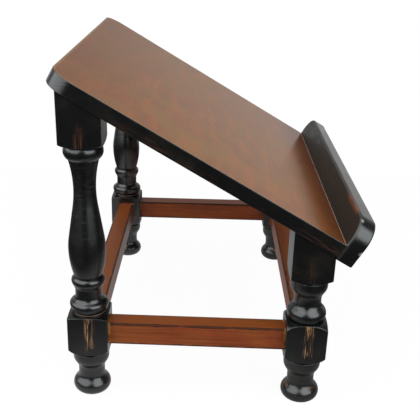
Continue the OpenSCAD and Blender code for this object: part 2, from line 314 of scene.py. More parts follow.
def cut_holes(piece, *cutters):
    """Cuts the shapes of the cutters out of the piece."""
    pick(piece)
    for cutter in cutters:
        modifier = piece.modifiers.new("Holes", "BOOLEAN")
        modifier.operation = "DIFFERENCE"
        modifier.solver = "EXACT"
        modifier.object = cutter
        bpy.ops.object.modifier_apply(modifier=modifier.name)


def copy_of(source, name):
    """A copy of a piece or part with its own mesh."""
    pick(source)
    bpy.ops.object.duplicate()
    copy = bpy.context.object
    copy.name = copy.data.name = name
    return copy


def dowel_cutter(node):
    """The holes for a node's dowels: a merged copy, swollen by the room for glue."""
    cutter = copy_of(frame["nodes"][node], node + "_holes")
    cutter.parent = None
    bpy.ops.object.mode_set(mode="EDIT")
    merge_close()
    bpy.ops.transform.shrink_fatten(value=bpy.context.scene.stand_joints.glue_gap)
    bpy.ops.object.mode_set(mode="OBJECT")
    return cutter


def discard(*pieces):
    """Removes helper objects."""
    for piece in pieces:
        bpy.data.objects.remove(piece)


def settle(piece, slot, *nodes):
    """Shades a finished piece and lets it stand for its nodes."""
    pick(piece)
    bpy.ops.object.shade_smooth_by_angle(angle=SMOOTH_ANGLE)
    modifier = piece.modifiers.new("Flat faces", "WEIGHTED_NORMAL")
    modifier.keep_sharp = True
    bpy.ops.object.modifier_apply(modifier=modifier.name)
    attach(piece, "root")
    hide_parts(*nodes)


def add(tree, kind, inputs=(), **settings):
    """Adds a shader node with its settings and its inputs, which go by order or by name.

    An input takes a value, a socket, or a node for its first output.
    """
    node = tree.nodes.new("ShaderNode" + kind)
    for name, value in settings.items():
        setattr(node, name, value)
    for key, value in inputs.items() if isinstance(inputs, dict) else enumerate(inputs):
        if isinstance(value, bpy.types.Node):
            value = value.outputs[0]
        if isinstance(value, bpy.types.NodeSocket):
            tree.links.new(value, node.inputs[key])
        else:
            node.inputs[key].default_value = value
    return node


MIX_FACTOR, MIX_A, MIX_B, MIX_RESULT = 0, 6, 7, 2


def new_material(name):
    """An empty node material with its tree and the piece's own coordinates."""
    material = bpy.data.materials.new(name)
    material.use_nodes = True
    material.node_tree.nodes.clear()
    place = add(material.node_tree, "TexCoord").outputs["Object"]
    return material, material.node_tree, place


def coat(tree, tone, rough, relief, strength, depth, gloss):
    """Ends a material's tree: its tone, roughness and gloss, and a relief of some strength and depth."""
    bump = add(tree, "Bump", {"Height": relief, "Strength": strength, "Distance": depth})
    shader = add(tree, "BsdfPrincipled", {"Base Color": tone, "Roughness": rough, "Normal": bump})
    shader.inputs["IOR"].default_value = 1.5
    shader.inputs["Specular IOR Level"].default_value = gloss
    add(tree, "OutputMaterial", {"Surface": shader})


def board_place(tree, place):
    """Coordinates on the board: x across, y up the slope from the rear top edge, z out of its face."""
    shift = -(ON_BOARD.to_3x3().inverted() @ REAR_TOP)
    return add(tree, "Mapping", {"Vector": place, "Rotation": (-SLOPE, 0, 0), "Location": shift})


def leg_places(tree, place):
    """Distances outward from the nearest leg's axis, along x and along y: the four legs fold onto one."""
    x, y, _ = add(tree, "SeparateXYZ", [place]).outputs
    middle_y = (REAR_LEG_Y + FRONT_LEG_Y) / 2
    offsets = []
    for value, middle, reach in ((x, 0.0, LEG_X), (y, middle_y, REAR_LEG_Y - middle_y)):
        off = add(tree, "Math", [value, middle], operation="SUBTRACT")
        off = add(tree, "Math", [off], operation="ABSOLUTE")
        offsets.append(add(tree, "Math", [off, reach], operation="SUBTRACT"))
    return offsets


def size_of(tree, *values):
    """The sizes of the values, without their signs."""
    return [add(tree, "Math", [value], operation="ABSOLUTE") for value in values]


def mottle(tree, place, *size, detail=2):
    """Noise with patches of about this size along x, y and z, in millimetres."""
    spread = add(tree, "Mapping", {"Vector": place, "Scale": [1 / (s * MM) for s in size]})
    return add(tree, "TexNoise", {"Vector": spread, "Scale": 1.0, "Detail": detail})


def wander(tree, value, noise, reach):
    """A value that strays as far as a reach either way, as the noise has it."""
    drift = add(tree, "MapRange", {"Value": noise, "To Min": -reach, "To Max": reach})
    return add(tree, "Math", [value, drift], operation="ADD")


def mask(tree, most, *limits):
    """A share of at most this much: a product of soft steps, each a value and where it starts and ends."""
    share = most
    for limit in limits:
        step = add(tree, "MapRange", limit, interpolation_type="SMOOTHSTEP")
        share = add(tree, "Math", [share, step], operation="MULTIPLY")
    return share


def lay_over(tree, tone, layers):
    """Lays colours over a tone, each by its share."""
    for share, over in layers:
        mix = add(tree, "Mix", {MIX_FACTOR: share, MIX_A: tone, MIX_B: over}, data_type="RGBA")
        tone = mix.outputs[MIX_RESULT]
    return tone


def stained_wood(name, tones, grain_axis, marks, smooth, figure):
    """Close-grained hardwood, stained red-brown under satin lacquer, in a tone and a thin tone.

    The stain mottles softly, the grain shows as faint streaks, and the lacquer lays a grey sheen over
    it at low angles.
    """
    finish = bpy.context.scene.stand_finish
    material, tree, place = new_material(name)
    if marks is board_face_marks:
        place = board_place(tree, place)
    streak_size = [2.2] * 3
    streak_size[grain_axis] = 90
    pore_size = [0.9] * 3
    pore_size[grain_axis] = 14
    clouds = mottle(tree, place, 65, 65, 65, detail=4)
    streaks = mottle(tree, place, *streak_size, detail=3)
    pores = mottle(tree, place, *pore_size, detail=1)
    stain, thin = tones
    layers = [
        (mask(tree, 0.85, (clouds, 0.28, 0.7)), thin),
        (mask(tree, figure, (streaks, 0.44, 0.68)), finish.dark_stain_and_shade),
        (mask(tree, figure / 4, (pores, 0.60, 0.76)), finish.glaze),
    ]
    tone = lay_over(tree, stain, layers + marks(tree, place))
    rough = add(tree, "MapRange", {"Value": clouds, "To Min": smooth, "To Max": smooth + 0.1})
    relief = add(tree, "Math", [pores, streaks], operation="ADD")
    coat(tree, tone, rough, relief, strength=0.2 * figure, depth=0.05 * MM, gloss=0.2)
    return material


def board_face_marks(tree, place):
    """Marks on the board's face: warm blotches, darker stain toward the rear, painted shade toward the
    ledge for the ledge's shadow and dark reflection with glaze in the corner, stain rubbed thin beside the
    edges, and a pale line along the ledge.
    """
    finish = bpy.context.scene.stand_finish
    corner = bpy.context.scene.stand_edges.board_corner
    x, y, _ = add(tree, "SeparateXYZ", [place]).outputs
    past_side = add(tree, "Math", [*size_of(tree, x), BOARD_W / 2 - corner], operation="SUBTRACT")
    past_rear = add(tree, "Math", [y, corner], operation="ADD")
    inner = add(tree, "Math", [past_side, past_rear], operation="MAXIMUM")
    past = [add(tree, "Math", [value, 0.0], operation="MAXIMUM") for value in (past_side, past_rear)]
    both = add(tree, "CombineXYZ", past)
    outer = add(tree, "VectorMath", [both], operation="LENGTH").outputs["Value"]
    reach = add(tree, "Math", [outer, inner], operation="MAXIMUM")
    reach = wander(tree, reach, mottle(tree, place, 9, 9, 9), 2 * MM)
    blotches = mottle(tree, place, 70, 16, 16)
    warm = mask(tree, 0.6, (blotches, 0.4, 0.72))
    by_rear = mask(tree, 0.35, (y, -0.35 * BOARD_RUN, 0.0))
    rubbed = mask(tree, 0.3, (reach, corner - 3.4 * MM, corner - 1.4 * MM))
    # Painted shade: the face darkens over 60 mm toward the ledge. This stands in for the ledge's shadow
    # and its dark reflection in the lacquer, and for glaze in the corner by the joint.
    ledge_shade_and_glaze = mask(tree, 0.8, (y, -BOARD_RUN + 60 * MM, -BOARD_RUN + 5 * MM))
    joint = mask(tree, 0.7, (y, -BOARD_RUN + 1.4 * MM, -BOARD_RUN + 0.9 * MM))
    return [
        (warm, finish.board_warm),
        (by_rear, finish.dark_stain_and_shade),
        (rubbed, finish.stain_edge),
        (ledge_shade_and_glaze, finish.dark_stain_and_shade),
        (joint, finish.joint),
    ]


def stretcher_marks(tree, place):
    """Marks on the stretchers: dark glaze along the arrises, and thin stain on top and at the ends."""
    finish = bpy.context.scene.stand_finish
    height = add(tree, "SeparateXYZ", [place]).outputs["Z"]
    offsets = size_of(tree, *leg_places(tree, place))
    across = add(tree, "Math", offsets, operation="MINIMUM")
    along = add(tree, "Math", offsets, operation="MAXIMUM")
    up = add(tree, "Math", [height, STRETCHER_Z], operation="SUBTRACT")
    top = mask(tree, 0.65, (up, STRETCHER_H / 2 - 0.6 * MM, STRETCHER_H / 2 - 0.2 * MM))
    to_arris = add(tree, "Math", [across, *size_of(tree, up)], operation="ADD")
    wobble = mottle(tree, place, 14, 14, 14, detail=3)
    to_arris = wander(tree, to_arris, wobble, 2 * MM)
    arris = (STRETCHER_T + STRETCHER_H) / 2
    line = mask(tree, 0.8, (to_arris, arris - 2.6 * MM, arris - 1.6 * MM))
    end = LEG_SQUARE / 2
    ends = mask(tree, 0.6, (along, end + 16 * MM, end), (wobble, 0.35, 0.6))
    gap = mask(tree, 0.6, (along, end + 2.5 * MM, end + 1.2 * MM), (wobble, 0.45, 0.58))
    return [(top, finish.rail_thin), (ends, finish.rail_thin), (line, finish.glaze), (gap, finish.wood)]


def painted_wood(name, wear, gloss=0.8):
    """Black satin paint brushed over brown stain, rubbed through by hand to look old.

    The paint is nearly black with brown in it where it is thin, and it has soft broad highlights.
    """
    finish = bpy.context.scene.stand_finish
    material, tree, place = new_material(name)
    clouds = mottle(tree, place, 30, 30, 30, detail=4)
    layers = wear(tree, place)
    thin = (mask(tree, 0.5, (clouds, 0.5, 0.75)), finish.paint_thin)
    tone = lay_over(tree, finish.paint, [thin, *layers])
    worn = 0.0
    for share, _ in layers:
        worn = add(tree, "Math", [worn, share], operation="MAXIMUM")
    rough = add(tree, "MapRange", {"Value": worn, "To Min": 0.19, "To Max": 0.55})
    rough = add(tree, "Math", [clouds, 0.12, rough], operation="MULTIPLY_ADD")
    # Brush marks run round the turnings and along the edges.
    brushed = mottle(tree, place, 40, 40, 1.6)
    fine = add(tree, "Math", [mottle(tree, place, 1.2, 1.2, 1.2), brushed], operation="ADD")
    relief = add(tree, "Math", [worn, -0.5, fine], operation="MULTIPLY_ADD")
    coat(tree, tone, rough, relief, strength=0.25, depth=0.3 * MM, gloss=gloss)
    return material


def leg_wear(tree, place):
    """Wear on the legs: scratches and rubs on the outer faces of the blocks, a rubbed band on the front
    feet and rubbed soles, a thin pale line round the foot of each rear bead, thin paint and scuffs on the
    vases, and brown on the inner faces round the ends of the stretchers.
    """
    finish = bpy.context.scene.stand_finish
    sizes = bpy.context.scene.stand_turning
    x, y, height = add(tree, "SeparateXYZ", [place]).outputs
    out_x, out_y = leg_places(tree, place)
    near = add(tree, "Math", size_of(tree, out_x, out_y), operation="MINIMUM")
    half = LEG_SQUARE / 2
    block = sizes.lower_block
    over = add(tree, "Math", [height, STRETCHER_Z + block / 2], operation="SUBTRACT")
    outward = add(tree, "Math", [out_x, out_y], operation="MAXIMUM")
    inward = add(tree, "Math", [out_x, out_y], operation="MINIMUM")
    on_outside = (outward, half - 0.4 * MM, half - 0.1 * MM)
    on_inside = (inward, 0.1 * MM - half, -half)
    on_rear = (y, 0.0, 1 * MM)
    on_front = (y, 0.0, -1 * MM)
    patches = mottle(tree, place, 16, 16, 16)
    # Fine lines down the grain, a little to one side, which stay straight and run out at uneven heights.
    lines = mottle(tree, place, 0.9, 0.9, 24)
    breaks = mottle(tree, place, 1.4, 1.4, 7)
    broad = mottle(tree, place, 5, 5, 30)
    ragged = wander(tree, over, mottle(tree, place, 3, 3, 60), 16 * MM)
    shifted = add(tree, "VectorMath", [place, (0, 2 * MM, 0)], operation="ADD")
    aside = add(tree, "Math", size_of(tree, *leg_places(tree, shifted)), operation="MINIMUM")
    above_end = (ragged, 8 * MM - block, 13 * MM - block)
    on_lower = (on_outside, (aside, 7 * MM, 2 * MM), (over, 0.0, -0.5 * MM), above_end)
    bare = mask(tree, 0.9, *on_lower, (lines, 0.5, 0.6), (breaks, 0.36, 0.5), (broad, 0.3, 0.5))
    worn = mask(tree, 0.5, *on_lower, (lines, 0.38, 0.55), (broad, 0.34, 0.5))
    # Under the board, a soft rub low in the middle of each outer face.
    under = add(tree, "Math", [y, math.tan(SLOPE), UNDERSIDE], operation="MULTIPLY_ADD")
    drop = add(tree, "Math", [under, height], operation="SUBTRACT")
    streaks = mottle(tree, place, 2.5, 2.5, 26, detail=4)
    on_upper = ((drop, 16 * MM, 44 * MM), (height, 0.08, 0.3), (over, 30 * MM, 31 * MM))
    rub = mask(tree, 0.6, on_outside, (near, 8 * MM, 1 * MM), (streaks, 0.42, 0.68), *on_upper)
    # A thin pale line round the foot of each rear bead.
    on_ring = ((over, 0.6 * MM, 1.2 * MM), (over, 2.4 * MM, 1.8 * MM))
    line = mask(tree, 0.6, on_rear, *on_ring, (patches, 0.3, 0.45))
    on_band = ((height, 16 * MM, 17.5 * MM), (height, 20.5 * MM, 19 * MM))
    foot = mask(tree, 0.55, on_front, *on_band, (patches, 0.46, 0.56))
    sole = mask(tree, 0.6, (height, 5 * MM, 2 * MM), (patches, 0.4, 0.55))
    # The rear right leg is thin in patches toward the reader, and fine scuffs run round both rear vases.
    toward_reader = ((x, 0.0, 1 * MM), (out_y, -4 * MM, -14 * MM))
    on_turning = ((over, 4 * MM, 8 * MM), (over, 190 * MM, 150 * MM))
    handled = mask(tree, 0.4, on_rear, *toward_reader, *on_turning, (patches, 0.4, 0.58))
    rings = mottle(tree, place, 14, 14, 0.9)
    on_vase = ((over, 90 * MM, 100 * MM), (over, 190 * MM, 160 * MM))
    scuff = mask(tree, 0.045, on_rear, *on_vase, (rings, 0.54, 0.68), (patches, 0.35, 0.55))
    # Brown on the legs' inner faces round the ends of the stretchers.
    (up,) = size_of(tree, add(tree, "Math", [height, STRETCHER_Z], operation="SUBTRACT"))
    sides = ((near, STRETCHER_T / 2), (up, STRETCHER_H / 2))
    by_joint = [(off, reach + 3 * MM, reach + 1 * MM) for off, reach in sides]
    by_stretcher_ends = mask(tree, 0.8, on_inside, *by_joint, (patches, 0.3, 0.5))
    return [
        (rub, finish.rub),
        (worn, finish.rub),
        (line, finish.pale_bead_line),
        (foot, finish.rub),
        (sole, finish.rub),
        (handled, finish.rub),
        (scuff, finish.chip),
        (by_stretcher_ends, finish.rail_stain),
        (bare, finish.wood),
    ]


def board_edge_wear(tree, place):
    """Wear on the board's edges: brown streaks along the lower arris."""
    finish = bpy.context.scene.stand_finish
    place = board_place(tree, place)
    _, y, z = add(tree, "SeparateXYZ", [place]).outputs
    lines = mottle(tree, place, 1.5, 30, 1.5, detail=3)
    patches = mottle(tree, place, 50, 50, 50)
    low = (z, -0.4 * BOARD_T, -0.75 * BOARD_T)
    toward_ledge = (y, -0.2 * BOARD_RUN, -0.35 * BOARD_RUN)
    streak = mask(tree, 0.3, low, toward_ledge, (lines, 0.46, 0.64), (patches, 0.35, 0.6))
    return [(streak, finish.rub)]


def ledge_wear(tree, place):
    """Wear on the ledge: thin paint inside, brown rubbed along its inner top arris toward the near end,
    and two knocks.
    """
    finish = bpy.context.scene.stand_finish
    place = board_place(tree, place)
    x, y, z = add(tree, "SeparateXYZ", [place]).outputs
    lines = mottle(tree, place, 30, 2, 2, detail=3)
    inner = (y, -BOARD_RUN - 4 * MM, -BOARD_RUN - 1.5 * MM)
    high = (z, LEDGE_RISE - 7 * MM, LEDGE_RISE - 3 * MM)
    near_end = ((x, -0.44 * BOARD_W, -0.41 * BOARD_W), (x, -0.26 * BOARD_W, -0.34 * BOARD_W))
    streak = mask(tree, 0.85, inner, high, *near_end, (lines, 0.3, 0.5))
    thin = mask(tree, 0.65, inner, (lines, 0.1, 0.6))
    layers = [(thin, finish.paint_thin), (streak, finish.rub)]
    # The knocks go down to the filler: on the inner corner and low on the end.
    flakes = mottle(tree, place, 1.5, 1.5, 5)
    for spot in (
        (-0.4705 * BOARD_W, -BOARD_RUN - 2.8 * MM, LEDGE_RISE - 3 * MM),
        (-0.5 * BOARD_W, -BOARD_RUN - 18.5 * MM, -0.5 * MM),
    ):
        away = add(tree, "VectorMath", [place, spot], operation="DISTANCE").outputs["Value"]
        layers.append((mask(tree, 0.6, (away, 3.5 * MM, 1 * MM), (flakes, 0.45, 0.6)), finish.chip))
    return layers


def plain_beech(name):
    """Beech as it comes from the dowel mill: pale, with short brown flecks along the grain, unfinished."""
    finish = bpy.context.scene.stand_finish
    material, tree, place = new_material(name)
    flecks = mottle(tree, place, 1, 1, 4)
    tone = lay_over(tree, finish.dowel, [(mask(tree, 1.0, (flecks, 0.5, 0.7)), finish.dowel_fleck)])
    coat(tree, tone, 0.65, flecks, strength=0.2, depth=0.1 * MM, gloss=0.5)
    return material


def lay_on_board(piece, axis, finishes, *dowels):
    """Finishes a piece that was modelled level, lays it on the slope and cuts the holes for its dowels.

    The second finish goes on the faces that look along an axis.
    """
    bpy.ops.object.mode_set(mode="OBJECT")
    for material in finishes:
        piece.data.materials.append(material)
    for face in piece.data.polygons:
        face.material_index = int(face.normal[axis] > FACING)
    piece.matrix_world = ON_BOARD
    bpy.ops.object.transform_apply()
    cutters = [dowel_cutter(node) for node in dowels]
    cut_holes(piece, *cutters)
    discard(*cutters)


class STAND_OT_board(bpy.types.Operator):
    """Model the sloping board, brown on its face and black along its edges"""

    bl_idname = "stand.board"
    bl_label = "Sloping Board"

    def execute(self, context):
        edges = context.scene.stand_edges
        half = BOARD_W / 2
        piece = start_block("sloping_board", (-half, -BOARD_RUN, -BOARD_T), (half, 0, 0))
        rear = edge_at(1, 0)
        front = edge_at(1, -BOARD_RUN)

        def at_corner(edge):
            return rear(edge) and abs(edge.verts[0].co.z - edge.verts[1].co.z) > BOARD_T / 2

        round_edges(piece, edges.board_corner, 16, at_corner)
        for level, radius in ((0, edges.board_arris), (-BOARD_T, edges.board_low_arris)):
            face = edge_at(2, level)
            round_edges(piece, radius, 3, lambda edge: face(edge) and not front(edge))
        finish = context.scene.stand_finish
        paint = painted_wood("black_paint_on_board", board_edge_wear)
        tones = (finish.board_stain, finish.board_thin)
        stain = stained_wood("brown_stain_on_board", tones, 0, board_face_marks, smooth=0.2, figure=0.1)
        lay_on_board(piece, 2, (paint, stain), "leg_dowels", "ledge_dowels")
        settle(piece, "brown_stain", "top_board")
        return {"FINISHED"}


class STAND_OT_ledge(bpy.types.Operator):
    """Model the book ledge along the board's front edge"""

    bl_idname = "stand.ledge"
    bl_label = "Book Ledge"

    def execute(self, context):
        edges = context.scene.stand_edges
        half = BOARD_W / 2
        low = (-half, -BOARD_RUN - LEDGE_T, LEDGE_RISE - LEDGE_H)
        high = (half, -BOARD_RUN, LEDGE_RISE)
        piece = start_block("book_ledge_rail", low, high)
        ends = (edge_at(0, -half), edge_at(0, half))
        top = edge_at(2, LEDGE_RISE)
        round_edges(
            piece, edges.ledge_corner, 14, lambda edge: top(edge) and any(test(edge) for test in ends)
        )
        # The arris on the inner side stops at the board's face, where the ledge is flush with the board.
        bpy.ops.mesh.select_all(action="SELECT")
        bpy.ops.mesh.bisect(plane_co=(0, 0, 0), plane_no=(0, 0, 1), threshold=TOUCH)
        outer = edge_at(1, -BOARD_RUN - LEDGE_T)
        inner = edge_at(1, -BOARD_RUN)

        def on_show(edge):
            level = [vert.co.z for vert in edge.verts]
            return outer(edge) or inner(edge) and min(level) > -TOUCH and max(level) > TOUCH

        round_edges(piece, edges.ledge_arris, 4, on_show)
        paint = painted_wood("black_paint_on_ledge", ledge_wear)
        rubbed = painted_wood("rubbed_paint_on_ledge", ledge_wear, gloss=0.3)
        lay_on_board(piece, 1, (paint, rubbed), "ledge_dowels")
        settle(piece, "black_paint", "book_ledge")
        return {"FINISHED"}


def arc(centre, radius, start, end, pitch=9):
    """Points on an arc of an outline, one for each pitch. Angles in degrees, 0 straight out, 90 up."""
    steps = max(2, round(abs(end - start) / pitch))
    angles = [math.radians(start + (end - start) * i / steps) for i in range(steps + 1)]
    return [(centre[0] + radius * math.cos(a), centre[1] + radius * math.sin(a)) for a in angles]


def sweep_between(ball, ball_radius, neck, radius, side):
    """The hollow sweep from a rounded form to a neck: its centre, and its angle on the rounded form."""
    out = neck + radius - ball[0]
    up = side * math.sqrt((ball_radius + radius) ** 2 - out**2)
    return (neck + radius, ball[1] + up), math.degrees(math.atan2(up, out))


def bun_outline(sizes, middle, start):
    """A bun about a height, from an angle below its widest ring up to its neck."""
    ball = (sizes.bun / 2 - sizes.bun_side, middle)
    centre, angle = sweep_between(ball, sizes.bun_side, sizes.neck / 2, sizes.neck_sweep, 1)
    return arc(ball, sizes.bun_side, start, angle) + arc(centre, sizes.neck_sweep, angle - 180, -180)[1:]


def cup_outline(sizes, block):
    """The sweep from a neck into a cup, and the cup's band and quirk, up to the foot of a block."""
    ball = (sizes.cup / 2 - sizes.cup_side, block - sizes.quirk_height - sizes.cup_band)
    centre, angle = sweep_between(ball, sizes.cup_side, sizes.neck / 2, sizes.cup_sweep, -1)
    soft = sizes.fillet_step
    band = block - sizes.quirk_height
    return (
        arc(centre, sizes.cup_sweep, 180, angle + 180)
        + arc(ball, sizes.cup_side, angle, 0)[1:]
        + arc((sizes.cup / 2 - soft, band - soft), soft, 0, 90, 30)
        + [(sizes.quirk / 2, band), (sizes.quirk / 2, block)]
    )


def block_outline(sizes, low, low_radius, high, high_radius):
    """A block between two heights as it is turned, before it is squared: flat ends, rounded shoulders."""
    flat = LEG_SQUARE / 2 - sizes.shoulder_lip
    spare = 0.8 * MM
    reach = LEG_SQUARE / math.sqrt(2) - flat + spare
    low_turn, high_turn = [math.degrees(math.asin(reach / radius)) for radius in (low_radius, high_radius)]
    return (
        arc((flat, low + low_radius), low_radius, -90, low_turn - 90, 6)
        + arc((flat, high - high_radius), high_radius, 90 - high_turn, 90, 6)
    )


def ring_outline(width, middle, side, edge, low, end):
    """A ring about a height: a full round side up from where it meets a radius, and a tighter top edge."""
    start = math.degrees(math.acos((low - width / 2 + side) / side))
    under = arc((width / 2 - side, middle), side, -start, 0)
    return under + arc((width / 2 - edge, middle), edge, 0, end)[1:]


def vase_outline(sizes, low, high):
    """The vase between two heights: a foot and belly that meet the throat along their common tangent."""
    belly = (sizes.belly / 2, low + sizes.belly_up)
    throat = (sizes.throat / 2, high - sizes.throat_down)
    foot_swell = (sizes.belly - sizes.vase_foot) / 2
    foot_radius = (sizes.belly_up**2 + foot_swell**2) / (2 * foot_swell)
    flare = (sizes.vase_top - sizes.throat) / 2
    throat_radius = (sizes.throat_down**2 + flare**2) / (2 * flare)
    belly_centre = (belly[0] - sizes.belly_side, belly[1])
    throat_centre = (throat[0] + throat_radius, throat[1])
    across, up = throat_centre[0] - belly_centre[0], throat_centre[1] - belly_centre[1]
    reach = math.acos((sizes.belly_side + throat_radius) / math.hypot(across, up))
    lean = math.degrees(math.atan2(up, across) - reach)
    foot_angle = math.degrees(math.asin(sizes.belly_up / foot_radius))
    top_angle = math.degrees(math.asin(sizes.throat_down / throat_radius))
    return (
        arc((belly[0] - foot_radius, belly[1]), foot_radius, -foot_angle, 0, 3)
        + arc(belly_centre, sizes.belly_side, 0, lean, 2)[1:]
        + arc(throat_centre, throat_radius, 180 + lean, 180 - top_angle, 2)
    )


def foot_outline(sizes, block):
    """The turning from the table up to the lower block."""
    sole = -math.degrees(math.asin(sizes.foot_height / sizes.bun_side))
    return [(0, 0)] + bun_outline(sizes, sizes.foot_height, sole) + cup_outline(sizes, block)


def front_outline(sizes, low, high):
    """The turning between the blocks of a front leg."""
    quirk = [(sizes.quirk / 2, low)]
    middle = low + sizes.bun_up
    out = (sizes.quirk / 2 - sizes.bun / 2 + sizes.bun_side) / sizes.bun_side
    start = -math.degrees(math.acos(out))
    return quirk + bun_outline(sizes, middle, start) + cup_outline(sizes, high)


def rear_outline(sizes, low, high):
    """The turning between the blocks of a rear leg."""
    quirk = sizes.quirk / 2
    cove = sizes.cove / 2
    bead = (sizes.bead / 2 - sizes.bead_edge, low + sizes.bead_up)
    centre, angle = sweep_between(bead, sizes.bead_edge, cove, sizes.cove_sweep, 1)
    step = sizes.fillet_step
    under = ring_outline(sizes.bead, bead[1], sizes.bead_side, sizes.bead_edge, quirk, angle)
    over = ring_outline(sizes.ring, low + sizes.ring_up, sizes.ring_side, sizes.ring_edge, cove + step, 80)
    ring_low = over[0][1]
    collar = (sizes.collar / 2 - sizes.collar_side, high - sizes.collar_down)
    collar_low = high - sizes.collar_height
    under_turn = math.degrees(math.asin((sizes.collar_height - sizes.collar_down) / sizes.collar_side))
    over_turn = math.degrees(math.asin(sizes.collar_down / sizes.collar_side))
    tall = sizes.fillet_height
    return (
        [(quirk, low)]
        + under
        + arc(centre, sizes.cove_sweep, angle - 180, -180)[1:]
        + [(cove, ring_low - tall), (cove + step, ring_low - tall)]
        + over
        + vase_outline(sizes, low + sizes.ring_up + sizes.ring_edge, collar_low)
        + arc(collar, sizes.collar_side, -under_turn, over_turn)
    )


def turn(name, outline, x, y, steps):
    """Draws half the outline of a leg point by point and spins it about the leg's axis."""
    bpy.ops.object.select_all(action="DESELECT")
    bpy.ops.mesh.primitive_plane_add(size=MM, location=(x, y, 0))
    piece = bpy.context.object
    piece.name = piece.data.name = name
    bpy.ops.object.transform_apply()
    bpy.ops.object.mode_set(mode="EDIT")
    bpy.ops.mesh.select_mode(type="VERT")
    bpy.ops.mesh.select_all(action="SELECT")
    bpy.ops.mesh.merge(type="CENTER")
    for here, there in zip(outline, outline[1:]):
        step = (there[0] - here[0], 0, there[1] - here[1])
        bpy.ops.mesh.extrude_vertices_move(TRANSFORM_OT_translate={"value": step})
    merge_close()
    bpy.ops.mesh.spin(steps=steps, angle=2 * math.pi, center=(x, y, 0), axis=(0, 0, 1))
    merge_close()
    bpy.ops.mesh.normals_make_consistent(inside=False)
    return piece


def cut_flat(point, normal):
    """Cuts the piece in edit mode along a plane, drops what lies beyond and closes the cut."""
    bpy.ops.mesh.select_all(action="SELECT")
    bpy.ops.mesh.bisect(plane_co=point, plane_no=normal, use_fill=True, clear_outer=True, threshold=TOUCH)


def square_blocks(piece, x, y, edges):
    """Planes the turned blocks square, rounds their arrises and eases the edges of their shoulders."""
    half = LEG_SQUARE / 2
    for normal in map(Vector, ((1, 0, 0), (-1, 0, 0), (0, 1, 0), (0, -1, 0))):
        cut_flat(Vector((x, y, 0)) + half * normal, normal)
    merge_close(SLIVER)

    def on_side(face):
        return max(abs(face.normal.x), abs(face.normal.y)) > 0.9999 and face.calc_area() > half**2

    def is_arris(edge):
        return len(edge.link_faces) == 2 and all(on_side(face) for face in edge.link_faces)

    def is_shoulder(edge):
        return sum(on_side(face) for face in edge.link_faces) == 1 and edge.calc_face_angle(0) > 0.3

    round_edges(piece, edges.block_arris, 3, is_arris)
    round_edges(piece, edges.shoulder_arris, 2, is_shoulder)


def mortise_cutter(block, way):
    """The room for a tenon that enters a block from one side, with its room for glue."""
    joints = bpy.context.scene.stand_joints
    inner = LEG_SQUARE / 2 - TENON_L - joints.glue_end
    side = Vector((abs(way.y), abs(way.x), 0)) * (joints.tenon_thickness / 2 + joints.glue_gap)
    side.z = joints.tenon_height / 2 + joints.glue_gap
    ends = [block + way * reach for reach in (inner, LEG_SQUARE)]
    box = [end + sign * side for end in ends for sign in (-1, 1)]
    cutter = start_block("mortise", *[Vector(map(extreme, zip(*box))) for extreme in (min, max)])
    bpy.ops.object.mode_set(mode="OBJECT")
    return cutter


class STAND_OT_legs(bpy.types.Operator):
    """Turn the four legs, square their blocks and cut their mortises"""

    bl_idname = "stand.legs"
    bl_label = "Turned Legs"

    def execute(self, context):
        sizes = context.scene.stand_turning
        paint = painted_wood("black_paint_on_legs", leg_wear)
        dowels = dowel_cutter("leg_dowels")
        low = STRETCHER_Z - sizes.lower_block / 2
        high = STRETCHER_Z + sizes.lower_block / 2
        for row, y, between, block, shoulder in (
            ("rear", REAR_LEG_Y, rear_outline, sizes.rear_block, sizes.rear_shoulder),
            ("front", FRONT_LEG_Y, front_outline, sizes.front_block, sizes.shoulder),
        ):
            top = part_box(row + "_left_leg")[1].z
            seat = top - LEG_SQUARE / 2 * math.tan(SLOPE)
            upper = seat - block
            outline = (
                foot_outline(sizes, low)
                + block_outline(sizes, low, sizes.shoulder, high, shoulder)
                + between(sizes, high, upper)
                + block_outline(sizes, upper, sizes.upper_shoulder, top + block, sizes.upper_shoulder)
                + [(0, top + block)]
            )
            left = turn(row + "_left_turned_leg", outline, -LEG_X, y, sizes.steps)
            square_blocks(left, -LEG_X, y, context.scene.stand_edges)
            cut_flat((-LEG_X, y, seat), (0, -math.sin(SLOPE), math.cos(SLOPE)))
            bpy.ops.object.mode_set(mode="OBJECT")
            left.data.materials.append(paint)
            right = copy_of(left, row + "_right_turned_leg")
            right.location.x = 2 * LEG_X
            bpy.ops.object.transform_apply()
            toward = -1 if row == "rear" else 1
            for piece, x, node in ((left, -LEG_X, "_left_leg"), (right, LEG_X, "_right_leg")):
                block_middle = Vector((x, y, STRETCHER_Z))
                ways = (Vector((-math.copysign(1, x), 0, 0)), Vector((0, toward, 0)))
                mortises = [mortise_cutter(block_middle, way) for way in ways]
                cut_holes(piece, dowels, *mortises)
                discard(*mortises)
                settle(piece, "black_paint", row + node)
        discard(dowels)
        return {"FINISHED"}


